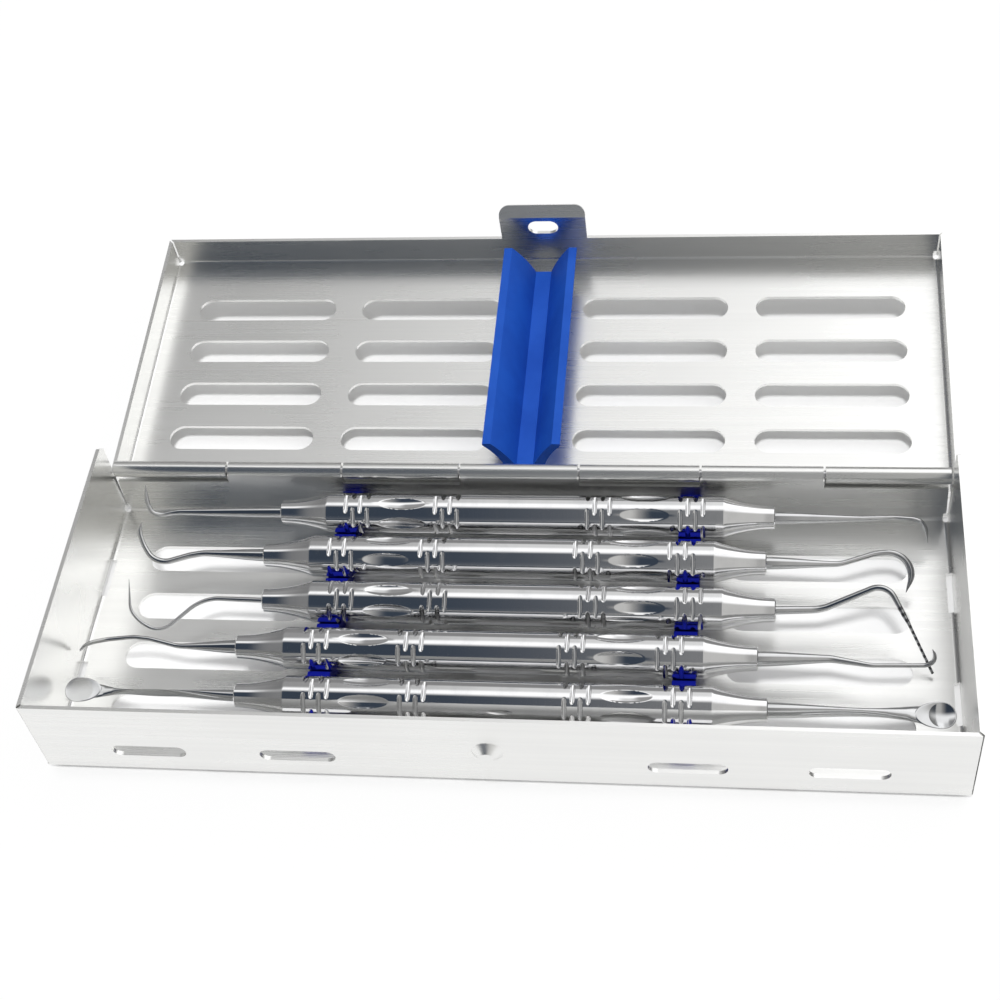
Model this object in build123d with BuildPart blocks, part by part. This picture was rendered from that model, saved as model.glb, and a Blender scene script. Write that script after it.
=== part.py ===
"""A five-instrument sterilising cassette: two folded steel trays on a rolled hinge,
silicone rails and a silicone hold-down bar, and the five double-ended instruments they carry.

Frame, in millimetres: +X runs along the cassette to the right, +Y from the latch side to
the hinge, +Z up. The origin is the middle of the base's underside. The lid stands open.
"""

import os
from math import asin, ceil, cos, radians, sin, tan

from build123d import *

os.makedirs("parts", exist_ok=True)

# ---- Driving dimensions, mm -------------------------------------------------------------
LENGTH = 180.0  # base, outside, along X
WIDTH = 66.4  # base, outside, along Y
HEIGHT = 22.2  # base walls, from the table
SHEET = 0.8  # stainless sheet of both trays
BASE_BEND = 1.6  # outer radius of the base's folds
LID_BEND = 1.4  # outer radius of the lid's folds

PIN_RADIUS = 0.9
PIN_FIT = 0.05  # radial room of the pin in its knuckles
KNUCKLE_BORE = PIN_RADIUS + PIN_FIT
KNUCKLE_RADIUS = KNUCKLE_BORE + SHEET
KNUCKLES = 7  # the odd ones, counted from either end, belong to the lid
KNUCKLE_GAP = 0.5
HINGE_HALF = 88.9  # half the rolled edge's length
HINGE_Z = 12.6
HINGE_Y = WIDTH / 2 - SHEET + KNUCKLE_RADIUS
CURL_WRAP = 285.0  # degrees that a knuckle wraps round the pin
KNUCKLE_ROOM = 0.45  # from a knuckle to the cut-out that it turns in
OPEN_ANGLE = 175.3  # from closed to the hinge's stop

CORNER_CUT = 1.6  # off the base side walls' back corners
LID_PANEL_Z = 22.5  # inner face of the closed lid's panel
LID_SIDE_ROOM = 0.3  # between base and lid side walls
LID_FRONT_Y = -34.3  # inner face of the closed lid's front wall
LID_WALL = 7.25  # lid walls, below the panel's inner face

SLOT_PITCH = 12.5  # rows of ventilation slots, both trays
BASE_SLOT_WIDTH = 6.6
LID_SLOT_WIDTH = 6.4
LID_ROWS_Y = -0.3  # middle of the closed lid's slot rows

TAB_WIDTH = 20.0
TAB_HOLE = (7.0, 4.1)
NUB_Z = 11.5
NUB_HEIGHT = 1.4
NUB_RADII = (3.1, 1.35)  # at the wall and at its flat top

HANDLE_Z = 8.0
HANDLE_RADIUS = 4.3
HANDLE_HALF = 52.2
BARREL_HALF = 41.7  # half the handle's full-diameter stretch
FERRULE_RADIUS = 2.4
SOCKET_DEPTH = 7.0
SOCKET_RADIUS = 1.6
BEND_SHARE = 0.45  # of a bend's shorter neighbour that the bend may take up
BEND_RADIUS = 9.0  # widest bend of a shank
BEND_STEP = 22.0  # degrees of bend from one section to the next
INSTRUMENT_PITCH = 11.6
INSTRUMENTS_Y = 3.1  # middle instrument
SCOOP_X = 25.5
SCOOP_LENGTH = 10.0
SCOOP_DEPTH = 0.55
SCOOP_CUTTER = 2.8  # the cutter's radius at its middle
CUTTER_OVERRUN = 1.2  # the cutter's length over the scoop's
CUTTER_HALF = CUTTER_OVERRUN * SCOOP_LENGTH / 2
CUTTER_END = SCOOP_CUTTER - CUTTER_OVERRUN**2 * SCOOP_DEPTH
RIM = 0.3  # round a spoon's hollow
SPOON_TILT = 12.0  # a spoon's face leans this far to the front

RAILS_X = (-37.0, 36.0)
RAIL_WIDTH = 4.6
RAIL_Y = (-26.4, 31.8)
RAIL_TOP = 5.7
RAIL_STUDS_Y = (-22.0, 0.0, 25.0)
BAR_STUDS_Y = (-19.0, 17.0)
STUD_RADIUS = 1.6
SOFT_ROOM = 0.3  # between an instrument and the silicone

BAR_X = -0.3
BAR_Y = (-29.0, 26.8)
BAR_TIP_Z = HANDLE_Z + HANDLE_RADIUS + SOFT_ROOM

HALF_L, HALF_W = LENGTH / 2, WIDTH / 2
HINGE_AXIS = Axis((0, HINGE_Y, HINGE_Z), (1, 0, 0))
ROW_YS = [SLOT_PITCH * k for k in (-1.5, -0.5, 0.5, 1.5)]
KNUCKLE_PITCH = 2 * HINGE_HALF / KNUCKLES
LID_KNUCKLES, BASE_KNUCKLES = range(0, KNUCKLES, 2), range(1, KNUCKLES, 2)


def finish(piece, name):
    """Labels a finished piece and writes its STEP file."""
    piece.part.label = name
    export_step(piece.part, f"parts/{name}.step")


# ---- Shared features of the two trays ---------------------------------------------------
def knuckle_span(index, room=0.0):
    """Both ends, along X, of a knuckle, or of the cut-out that leaves it some room."""
    start = -HINGE_HALF + KNUCKLE_PITCH * index
    end = start + KNUCKLE_PITCH
    inset = KNUCKLE_GAP / 2 - room
    return (
        start + (inset if index > 0 else -room),
        end - (inset if index < KNUCKLES - 1 else -room),
    )


def block(x_span, y_span, z_span, mode=Mode.ADD):
    """A box given by its two ends along each axis."""
    middle = tuple((a + b) / 2 for a, b in (x_span, y_span, z_span))
    size = [b - a for a, b in (x_span, y_span, z_span)]
    with Locations(middle):
        Box(*size, mode=mode)


def rolled_knuckle(index, side):
    """One knuckle of sheet rolled round the pin. side is 1 for a wall that comes up from
    below, and -1 for a wall that hangs down from above."""
    start, end = knuckle_span(index)
    opening = [180 + side * angle for angle in (0, 40, 360 - CURL_WRAP)]
    with BuildSketch(Plane.YZ.offset(start)) as curl:
        with Locations((HINGE_Y, HINGE_Z)):
            Circle(KNUCKLE_RADIUS)
            Circle(KNUCKLE_BORE, mode=Mode.SUBTRACT)
            reach = 2 * KNUCKLE_RADIUS
            corners = [(reach * cos(radians(a)), reach * sin(radians(a))) for a in opening]
            Polygon((0, 0), *corners, align=None, mode=Mode.SUBTRACT)
    extrude(curl.sketch, amount=end - start)


def mitre(x, y, z_span):
    """Opens the corner of a folded tray between its two walls."""
    with Locations(Location((x, y, sum(z_span) / 2), (0, 0, 45 if x * y > 0 else -45))):
        Box(4 * SHEET, SHEET / 2, z_span[1] - z_span[0], mode=Mode.SUBTRACT)


def corner_reliefs(half_x, y_span, z, inset):
    """Round holes where three folds would meet."""
    spots = [(sx * (half_x - inset), y, z) for sx in (-1, 1) for y in (y_span[0] + inset, y_span[1] - inset)]
    with Locations(spots):
        Cylinder(SHEET, 4 * SHEET, mode=Mode.SUBTRACT)


# ---- Base tray --------------------------------------------------------------------------
WALL_Y = (HALF_W - SHEET, HALF_W)  # the back wall's two faces
KNUCKLE_FLOOR = HINGE_Z - KNUCKLE_RADIUS - KNUCKLE_ROOM

with BuildPart() as base_tray:
    with BuildSketch():
        Rectangle(LENGTH, WIDTH)
    extrude(amount=HEIGHT)
    fillet(base_tray.faces().sort_by(Axis.Z)[0].edges(), BASE_BEND)
    offset(amount=-SHEET, openings=base_tray.faces().sort_by(Axis.Z)[-1])

    # ventilation slots: a long column at each end, three short ones between the rails
    with BuildSketch():
        for column, span in ((-62.15, 36.5), (-22.5, 17.0), (0, 16.0), (22.5, 17.0), (62.15, 36.5)):
            with Locations(*[(column, y) for y in ROW_YS]):
                SlotOverall(span, BASE_SLOT_WIDTH)
    extrude(amount=SHEET, mode=Mode.SUBTRACT)
    with BuildSketch(Plane.XZ.offset(HALF_W)):
        with Locations(*[(x, 7.7) for x in (-67.3, -37.5, 37.5, 67.3)]):
            SlotOverall(15.0, 3.6)
    extrude(amount=-SHEET, mode=Mode.SUBTRACT)

    # slits along the fold lines, which let the blank be folded by hand
    fold = 1.3
    for x in (-52.3, 0, 52.3):
        block((x - 5.5, x + 5.5), (-HALF_W - 1, -HALF_W + fold), (-1, fold / 2), Mode.SUBTRACT)
    for side in (-1, 1):
        edge = sorted((side * (HALF_L + 1), side * (HALF_L - 2)))
        for y in (-13.2, 13.2):
            block(edge, (y - 4.85, y + 4.85), (-1, fold), Mode.SUBTRACT)

    # the hinge side: the wall stops at the hinge line, and dips under the lid's knuckles
    block((-HINGE_HALF, HINGE_HALF), (WALL_Y[0] - 1, WALL_Y[1] + 1), (HINGE_Z, HEIGHT + 1), Mode.SUBTRACT)
    for index in LID_KNUCKLES:
        block(
            knuckle_span(index, KNUCKLE_GAP / 2),
            (WALL_Y[0] - 1, WALL_Y[1] + 1),
            (KNUCKLE_FLOOR, HEIGHT),
            Mode.SUBTRACT,
        )
    for side in (-1, 1):
        with BuildSketch(Plane.XZ.offset(-HALF_W - 1)):
            Polygon(
                (side * (HALF_L - SHEET), BASE_BEND),
                (side * (HINGE_HALF - 0.1), BASE_BEND),
                (side * (HINGE_HALF - 0.7), HEIGHT + 1),
                (side * (HALF_L - SHEET), HEIGHT + 1),
                align=None,
            )
        extrude(amount=2.5, mode=Mode.SUBTRACT)
        mitre(side * (HALF_L - SHEET), -HALF_W + SHEET, (BASE_BEND, HEIGHT + 1))
    corner_reliefs(HALF_L, (-HALF_W, HALF_W), SHEET, 1.1)
    for index in BASE_KNUCKLES:
        rolled_knuckle(index, 1)

    # the side walls' back corners are cut off, clear of the closed lid's bend
    with BuildSketch(Plane.YZ):
        with Locations((HALF_W, HEIGHT)):
            Polygon((-CORNER_CUT, 0), (0, 0), (0, -CORNER_CUT), align=None)
    extrude(amount=HALF_L, both=True, mode=Mode.SUBTRACT)

    # holes for the rails' studs
    with Locations(*[(x, y, 0) for x in RAILS_X for y in RAIL_STUDS_Y]):
        Cylinder(STUD_RADIUS, 4 * SHEET, mode=Mode.SUBTRACT)

    # the latch nub, pressed out of the front wall
    standing = (Align.CENTER, Align.CENTER, Align.MIN)
    with Locations(Location((0, -HALF_W, NUB_Z), (90, 0, 0))):
        Cone(*NUB_RADII, NUB_HEIGHT, align=standing)
    with Locations(Location((0, -HALF_W + SHEET, NUB_Z), (90, 0, 0))):
        Cone(*[radius - 0.5 for radius in NUB_RADII], NUB_HEIGHT, align=standing, mode=Mode.SUBTRACT)
finish(base_tray, "base_tray")

# ---- Lid, folded as it lies closed on the base ------------------------------------------
LID_HALF = HALF_L + LID_SIDE_ROOM + SHEET
LID_TOP = LID_PANEL_Z + SHEET
LID_RIM = LID_PANEL_Z - LID_WALL
LID_Y = (LID_FRONT_Y - SHEET, HALF_W)
WALL_CEILING = HINGE_Z + KNUCKLE_RADIUS + KNUCKLE_ROOM

with BuildPart() as closed_lid:
    block((-LID_HALF, LID_HALF), LID_Y, (LID_RIM, LID_TOP))
    fillet(closed_lid.faces().sort_by(Axis.Z)[-1].edges(), LID_BEND)
    offset(amount=-SHEET, openings=closed_lid.faces().sort_by(Axis.Z)[0])

    # four columns of four ventilation slots
    with BuildSketch(Plane.XY.offset(LID_PANEL_Z)):
        for x in (-65.8, -26.1, 26.1, 65.8):
            with Locations(*[(x, LID_ROWS_Y + y) for y in ROW_YS]):
                SlotOverall(33.4, LID_SLOT_WIDTH)
    extrude(amount=SHEET, mode=Mode.SUBTRACT)

    # the hinge side: the wall reaches down to the hinge line between the base's knuckles
    block((-HINGE_HALF, HINGE_HALF), WALL_Y, (HINGE_Z, LID_PANEL_Z - SHEET))
    for index in BASE_KNUCKLES:
        block(
            knuckle_span(index, KNUCKLE_GAP / 2),
            (WALL_Y[0] - 1, WALL_Y[1] + 1),
            (HINGE_Z - 1, WALL_CEILING),
            Mode.SUBTRACT,
        )
    for side in (-1, 1):
        gap = sorted((side * HINGE_HALF, side * (LID_HALF - SHEET)))
        block(gap, (HALF_W - 2, HALF_W + 1), (HINGE_Z - 1, LID_PANEL_Z - SHEET), Mode.SUBTRACT)
        mitre(side * (LID_HALF - SHEET), LID_FRONT_Y, (LID_RIM - 1, LID_PANEL_Z - SHEET))
    corner_reliefs(LID_HALF, LID_Y, LID_PANEL_Z, 1.1)
    for index in LID_KNUCKLES:
        rolled_knuckle(index, -1)

    # holes for the bar's studs
    with Locations(*[(BAR_X, y, LID_PANEL_Z) for y in BAR_STUDS_Y]):
        Cylinder(STUD_RADIUS, 4 * SHEET, mode=Mode.SUBTRACT)

    # the latch tab: a tongue of the front wall with a flared lip
    bend_z, lip_y, lip_z = 8.3, -36.0, 5.8
    lip = Vector(0, lip_y - LID_FRONT_Y, lip_z - bend_z).normalized()
    across = Vector(0, lip.Z, -lip.Y) * SHEET
    with BuildSketch(Plane.YZ):
        Polygon(
            (LID_FRONT_Y, LID_RIM + SHEET),
            (LID_FRONT_Y, bend_z),
            (lip_y, lip_z),
            (lip_y + across.Y, lip_z + across.Z),
            (LID_FRONT_Y - SHEET, bend_z + 0.3 * SHEET),
            (LID_FRONT_Y - SHEET, LID_RIM + SHEET),
            align=None,
        )
    extrude(amount=TAB_WIDTH / 2, both=True)
    lip_corners = closed_lid.edges().filter_by(lambda e: abs(e.length - SHEET) < 1e-4).sort_by(Axis.Z)[:2]
    fillet(lip_corners, 2.4)
    with BuildSketch(Plane.XZ.offset(-LID_FRONT_Y)):
        with Locations((0, NUB_Z)):
            SlotOverall(*TAB_HOLE)
    extrude(amount=SHEET, mode=Mode.SUBTRACT)

with BuildPart() as lid:
    add(closed_lid.part.rotate(HINGE_AXIS, -OPEN_ANGLE))
finish(lid, "lid")

# ---- Hinge pin --------------------------------------------------------------------------
with BuildPart() as hinge_pin:
    with BuildSketch(Plane.YZ.offset(-HINGE_HALF)):
        with Locations((HINGE_Y, HINGE_Z)):
            Circle(PIN_RADIUS)
    extrude(amount=2 * HINGE_HALF)
    chamfer(hinge_pin.edges(), 0.2)
finish(hinge_pin, "hinge_pin")

# ---- Silicone ---------------------------------------------------------------------------
INSTRUMENT_YS = [INSTRUMENTS_Y + INSTRUMENT_PITCH * k for k in (2, 1, 0, -1, -2)]


def instrument_rail(x, name):
    """A silicone rail across the tray: its cradles hold the handles, its studs fill the floor's holes."""
    with BuildPart() as rail:
        block((x - RAIL_WIDTH / 2, x + RAIL_WIDTH / 2), RAIL_Y, (SHEET, RAIL_TOP))
        chamfer(rail.edges().filter_by(Axis.X), 0.4)
        with BuildSketch(Plane.YZ.offset(x - RAIL_WIDTH / 2)):
            with Locations(*[(y, HANDLE_Z) for y in INSTRUMENT_YS]):
                Circle(HANDLE_RADIUS + SOFT_ROOM)
        extrude(amount=RAIL_WIDTH, mode=Mode.SUBTRACT)
        with Locations(*[(x, y, 0) for y in RAIL_STUDS_Y]):
            Cylinder(STUD_RADIUS, SHEET, align=(Align.CENTER, Align.CENTER, Align.MIN))
    finish(rail, name)


instrument_rail(RAILS_X[0], "left_rail")
instrument_rail(RAILS_X[1], "right_rail")

BAR_FOOT = LID_PANEL_Z - 1.6  # the trough's inner floor

with BuildPart() as closed_bar:
    # one half of the trough: foot on the panel, wings that flare down to flat lips
    with BuildSketch(Plane.XZ.offset(-BAR_Y[0])) as trough:
        with BuildLine():
            Polyline((0, BAR_FOOT), (1.8, BAR_FOOT))
            Spline((1.8, BAR_FOOT), (3.5, 17.2), (6.6, BAR_TIP_Z))
            Polyline((6.6, BAR_TIP_Z), (8.4, BAR_TIP_Z), (8.4, BAR_TIP_Z + 0.6))
            Spline((8.4, BAR_TIP_Z + 0.6), (5.6, 17.4), (4.0, LID_PANEL_Z))
            Polyline((4.0, LID_PANEL_Z), (0, LID_PANEL_Z), (0, BAR_FOOT))
        make_face()
        mirror(about=Plane.YZ)
    extrude(amount=-(BAR_Y[1] - BAR_Y[0]))
    with Locations(*[(0, y, LID_PANEL_Z) for y in BAR_STUDS_Y]):
        Cylinder(STUD_RADIUS, SHEET, align=(Align.CENTER, Align.CENTER, Align.MIN))

with BuildPart() as lid_bar:
    add(closed_bar.part.moved(Location((BAR_X, 0, 0))).rotate(HINGE_AXIS, -OPEN_ANGLE))
finish(lid_bar, "lid_bar")


# ---- Instruments ------------------------------------------------------------------------
with BuildPart() as scoop_cutter:
    # a spindle that mills one finger scoop, shallower towards the scoop's ends
    with BuildSketch(Plane.XZ):
        with BuildLine():
            ThreePointArc((-CUTTER_HALF, CUTTER_END), (0, SCOOP_CUTTER), (CUTTER_HALF, CUTTER_END))
            Polyline((CUTTER_HALF, CUTTER_END), (CUTTER_HALF, 0), (-CUTTER_HALF, 0), (-CUTTER_HALF, CUTTER_END))
        make_face()
    revolve(axis=Axis.X)


def handle(x, y, scoop_turns, name):
    """A turned handle along X: a full barrel that bells down to a ferrule at each end, with
    two rings of milled finger scoops. scoop_turns are the rings' angles, left and right, in
    degrees from the top to the front."""
    side = Plane(origin=(x, y, HANDLE_Z), x_dir=(1, 0, 0), z_dir=(0, -1, 0))
    with BuildPart() as grip:
        with BuildSketch(side):
            with BuildLine():
                Polyline((0, 0), (0, HANDLE_RADIUS), (BARREL_HALF, HANDLE_RADIUS))
                Spline(
                    (BARREL_HALF, HANDLE_RADIUS),
                    (BARREL_HALF + 3.4, 3.35),
                    (BARREL_HALF + 6.8, 2.65),
                    (HANDLE_HALF - 0.2, FERRULE_RADIUS),
                )
                Polyline(
                    (HANDLE_HALF - 0.2, FERRULE_RADIUS),
                    (HANDLE_HALF, FERRULE_RADIUS - 0.2),
                    (HANDLE_HALF, SOCKET_RADIUS),
                    (HANDLE_HALF - SOCKET_DEPTH, SOCKET_RADIUS),
                    (HANDLE_HALF - SOCKET_DEPTH, 0),
                    (0, 0),
                )
            make_face()
            mirror(about=Plane.YZ)
        revolve(axis=Axis((x, y, HANDLE_Z), (1, 0, 0)))
        for end, turn in zip((-1, 1), scoop_turns):
            for step in range(6):
                spin = Location((x + end * SCOOP_X, y, HANDLE_Z), (turn + 60 * step, 0, 0))
                with Locations(spin * Location((0, 0, HANDLE_RADIUS - SCOOP_DEPTH + SCOOP_CUTTER))):
                    add(scoop_cutter.part, mode=Mode.SUBTRACT)
    finish(grip, name)


def bend_radius(before, corner, after):
    """As wide a bend as a corner's shorter neighbour leaves room for."""
    into, out = corner - before, after - corner
    room = BEND_SHARE * min(into.length, out.length)
    return min(BEND_RADIUS, room / tan(radians(into.get_angle(out) / 2)))


def reading(stations, marks, mark, column):
    """A station's value at a distance along the spine, in a straight line between stations."""
    spans = zip(marks, marks[1:], stations, stations[1:])
    start, end, before, after = next(span for span in spans if mark <= span[1] + 1e-6)
    return before[column] + (after[column] - before[column]) * (mark - start) / (end - start)


def spoon_blank(centre, radius, depth, ball):
    """A spoon's round head before it is hollowed: a flat-topped cap of a ball, and the
    hollow's own centre. depth is how far the head reaches below its flat top."""
    up = Vector(0, -sin(radians(SPOON_TILT)), cos(radians(SPOON_TILT)))
    cap = (radius**2 + depth**2) / (2 * depth)
    half_way = asin(radius / cap) / 2
    top = depth / 3
    with BuildSketch(Plane(centre, x_dir=(1, 0, 0), z_dir=Vector(1, 0, 0).cross(up))) as lens:
        with BuildLine():
            Polyline((0, top - depth), (0, top), (radius, top))
            belly = (cap * sin(half_way), top - depth + cap * (1 - cos(half_way)))
            ThreePointArc((radius, top), belly, (0, top - depth))
        make_face()
    revolve(lens.sketch, axis=Axis(centre, up))
    return Vector(*centre) + up * (top + (ball**2 - (radius - RIM) ** 2) ** 0.5)


def working_end(stations, name, spoon=None):
    """A tapered shank and its blade. Oval sections follow a spine with a round bend at each
    station between the first and the last. A station is a centre (x, y, z), half the width
    and half the thickness, and each oval's width lies as near to Y as the spine lets it.
    spoon is a round head's centre, radius and depth, and the radius of its hollow."""
    centres = [Vector(*station[0]) for station in stations]
    outward = Vector(1 if centres[0].X > 0 else -1, 0, 0)
    with BuildPart() as blade:
        with BuildLine() as bent:
            corners = zip(centres, centres[1:], centres[2:])
            FilletPolyline(*centres, radius=[bend_radius(*corner) for corner in corners])
        spine = bent.wire()
        runs = spine.order_edges()
        ends = [sum(run.length for run in runs[:count]) for count in range(len(runs) + 1)]
        marks = [0.0, *[(a + b) / 2 for a, b in zip(ends[1::2], ends[2::2])], ends[-1]]
        for order, run in enumerate(runs):
            turn = run.tangent_at(0).get_angle(run.tangent_at(1))
            steps = max(1, ceil(turn / BEND_STEP))
            last = steps if run is runs[-1] else steps - 1
            for step in range(last + 1):
                mark = ends[order] + run.length * step / steps
                ahead = spine.tangent_at(mark, position_mode=PositionMode.LENGTH)
                place = spine.position_at(mark, position_mode=PositionMode.LENGTH)
                with BuildSketch(Plane(place, x_dir=Vector(0, 1, 0) - ahead * ahead.Y, z_dir=ahead)):
                    Ellipse(*[reading(stations, marks, mark, column) for column in (1, 2)])
        loft(ruled=True)
        with BuildSketch(Plane(centres[0] - outward * SOCKET_DEPTH, z_dir=outward)):
            Circle(SOCKET_RADIUS)
        extrude(amount=SOCKET_DEPTH)
        if spoon:
            with Locations(spoon_blank(*spoon)):
                Sphere(spoon[3], mode=Mode.SUBTRACT)
    finish(blade, name)


BACK_Y, SECOND_Y, MIDDLE_Y, FOURTH_Y, FRONT_Y = INSTRUMENT_YS

handle(1.3, BACK_Y, (8.5, 34.5), "sickle_handle")
working_end(
    [
        ((-50.9, BACK_Y, 8.0), 1.25, 1.25),
        ((-74.6, 26.0, 8.0), 0.62, 0.62),
        ((-77.6, 25.1, 8.0), 0.5, 0.5),
        ((-79.5, 25.0, 8.7), 0.52, 0.5),
        ((-80.4, 26.1, 10.0), 0.5, 0.5),
        ((-80.6, 27.2, 11.7), 0.36, 0.42),
        ((-80.5, 28.5, 14.0), 0.06, 0.06),
    ],
    "sickle_tip_left",
)
working_end(
    [
        ((53.5, BACK_Y, 8.0), 1.3, 1.3),
        ((71.0, 26.4, 8.0), 0.6, 0.6),
        ((77.4, 26.8, 8.0), 0.45, 0.45),
        ((81.6, 26.5, 8.0), 0.47, 0.47),
        ((83.3, 26.0, 7.6), 0.45, 0.47),
        ((84.1, 25.0, 6.0), 0.38, 0.42),
        ((84.4, 23.6, 3.8), 0.06, 0.06),
    ],
    "sickle_tip_right",
)

handle(-0.4, SECOND_Y, (43.5, 36.5), "scaler_handle")
working_end(
    [
        ((-52.6, SECOND_Y, 8.0), 1.3, 1.3),
        ((-66.3, 15.0, 8.0), 0.65, 0.65),
        ((-69.1, 14.4, 7.9), 0.65, 0.65),
        ((-74.3, 12.7, 7.6), 0.63, 0.6),
        ((-77.2, 13.3, 8.2), 0.58, 0.6),
        ((-79.1, 15.6, 9.5), 0.52, 0.58),
        ((-80.2, 17.8, 11.0), 0.4, 0.5),
        ((-79.7, 19.4, 12.6), 0.06, 0.06),
    ],
    "scaler_tip_left",
)
working_end(
    [
        ((51.8, SECOND_Y, 8.0), 1.3, 1.3),
        ((66.4, 14.7, 8.0), 0.55, 0.55),
        ((73.4, 16.9, 8.8), 0.58, 0.58),
        ((77.0, 17.2, 9.0), 0.6, 0.64),
        ((79.7, 15.9, 8.0), 0.6, 0.74),
        ((80.8, 13.7, 6.0), 0.5, 0.66),
        ((79.6, 11.3, 3.4), 0.06, 0.06),
    ],
    "scaler_tip_right",
)

handle(1.45, MIDDLE_Y, (-2.5, 36.0), "probe_handle")
working_end(
    [
        ((-50.75, MIDDLE_Y, 8.0), 0.55, 0.55),
        ((-63.9, 3.4, 8.0), 0.43, 0.43),
        ((-70.9, -3.0, 6.0), 0.38, 0.38),
        ((-73.4, -3.6, 6.2), 0.36, 0.36),
        ((-76.5, -2.3, 7.0), 0.34, 0.34),
        ((-78.8, -0.2, 8.2), 0.32, 0.32),
        ((-79.2, 5.0, 12.0), 0.05, 0.05),
    ],
    "probe_tip_left",
)
working_end(
    [
        ((53.65, MIDDLE_Y, 8.0), 0.85, 0.85),
        ((62.6, 3.5, 8.0), 0.72, 0.72),
        ((75.0, 6.5, 13.2), 0.6, 0.6),
        ((78.3, 1.1, 10.1), 0.46, 0.46),
        ((79.3, -0.5, 9.2), 0.33, 0.33),
        ((84.0, -6.9, 1.9), 0.28, 0.28),
    ],
    "probe_tip_right",
)

handle(-1.9, FOURTH_Y, (4.5, 40.5), "curette_handle")
working_end(
    [
        ((-54.1, FOURTH_Y, 8.0), 1.42, 1.42),
        ((-66.8, -8.7, 8.0), 0.5, 0.5),
        ((-72.6, -7.7, 8.9), 0.44, 0.44),
        ((-76.0, -7.5, 9.2), 0.43, 0.43),
        ((-81.5, -8.1, 9.0), 0.46, 0.44),
        ((-84.6, -8.5, 8.5), 0.46, 0.42),
        ((-86.7, -8.6, 7.4), 0.43, 0.38),
        ((-88.0, -8.9, 6.0), 0.3, 0.26),
    ],
    "curette_tip_left",
)
working_end(
    [
        ((50.3, FOURTH_Y, 8.0), 1.55, 1.55),
        ((64.2, -8.1, 8.0), 0.75, 0.75),
        ((71.8, -9.4, 8.0), 0.46, 0.46),
        ((82.3, -9.1, 8.0), 0.44, 0.44),
        ((83.6, -8.8, 8.9), 0.46, 0.42),
        ((83.7, -8.3, 10.4), 0.38, 0.34),
        ((83.1, -8.1, 12.0), 0.06, 0.06),
    ],
    "curette_tip_right",
)

handle(0.0, FRONT_Y, (39.5, 5.5), "spoon_handle")
working_end(
    [
        ((-52.2, FRONT_Y, 8.0), 1.22, 1.22),
        ((-77.5, -19.9, 8.0), 0.76, 0.7),
        ((-80.7, -19.8, 7.9), 1.4, 0.6),
        ((-82.4, -19.7, 8.0), 2.0, 0.5),
        ((-84.2, -19.8, 8.1), 2.3, 0.4),
    ],
    "spoon_tip_left",
    spoon=((-85.1, -19.8, 8.0), 2.65, 0.85, 10.0),
)
working_end(
    [
        ((52.2, FRONT_Y, 8.0), 1.55, 1.55),
        ((74.5, -20.0, 8.0), 0.94, 0.9),
        ((78.4, -19.9, 7.9), 1.05, 0.8),
        ((81.2, -19.9, 8.0), 1.5, 0.7),
        ((82.6, -20.3, 8.1), 2.0, 0.6),
        ((84.0, -20.4, 8.1), 2.35, 0.5),
    ],
    "spoon_tip_right",
    spoon=((84.45, -20.45, 8.1), 2.7, 1.4, 3.6),
)
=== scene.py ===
"""Looks of a sterilising cassette for dental hand instruments, built round its CAD frame.

The frame is the CAD's: +X runs along the cassette to the right, +Y from the latch side to
the hinge, +Z up, and the origin is under the middle of the base tray. Blender's metres are
used in every mesh. Sizes that a maker would read off a drawing are written in millimetres,
and their names or docstrings say so.
"""

from __future__ import annotations

import logging
from dataclasses import dataclass
from math import radians
from typing import Any, Iterable

import bpy
import numpy as np
from mathutils import Euler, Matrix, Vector

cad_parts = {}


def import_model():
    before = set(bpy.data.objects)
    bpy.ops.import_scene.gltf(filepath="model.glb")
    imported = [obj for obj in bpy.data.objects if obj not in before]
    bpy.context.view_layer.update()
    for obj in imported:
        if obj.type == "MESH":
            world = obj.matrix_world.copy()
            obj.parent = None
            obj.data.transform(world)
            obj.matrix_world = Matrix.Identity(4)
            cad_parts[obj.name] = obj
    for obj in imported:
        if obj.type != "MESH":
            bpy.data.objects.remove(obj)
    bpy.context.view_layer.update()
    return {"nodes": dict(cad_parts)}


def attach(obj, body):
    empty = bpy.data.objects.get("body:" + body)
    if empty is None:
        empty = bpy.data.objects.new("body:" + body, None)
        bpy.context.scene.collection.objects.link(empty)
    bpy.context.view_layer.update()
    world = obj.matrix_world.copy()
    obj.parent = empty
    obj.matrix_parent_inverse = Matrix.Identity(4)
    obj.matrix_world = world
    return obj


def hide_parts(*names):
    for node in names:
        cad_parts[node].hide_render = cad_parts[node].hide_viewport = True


MM = 0.001
LOG = logging.getLogger("cassette")
Colour = tuple[float, float, float]


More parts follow.
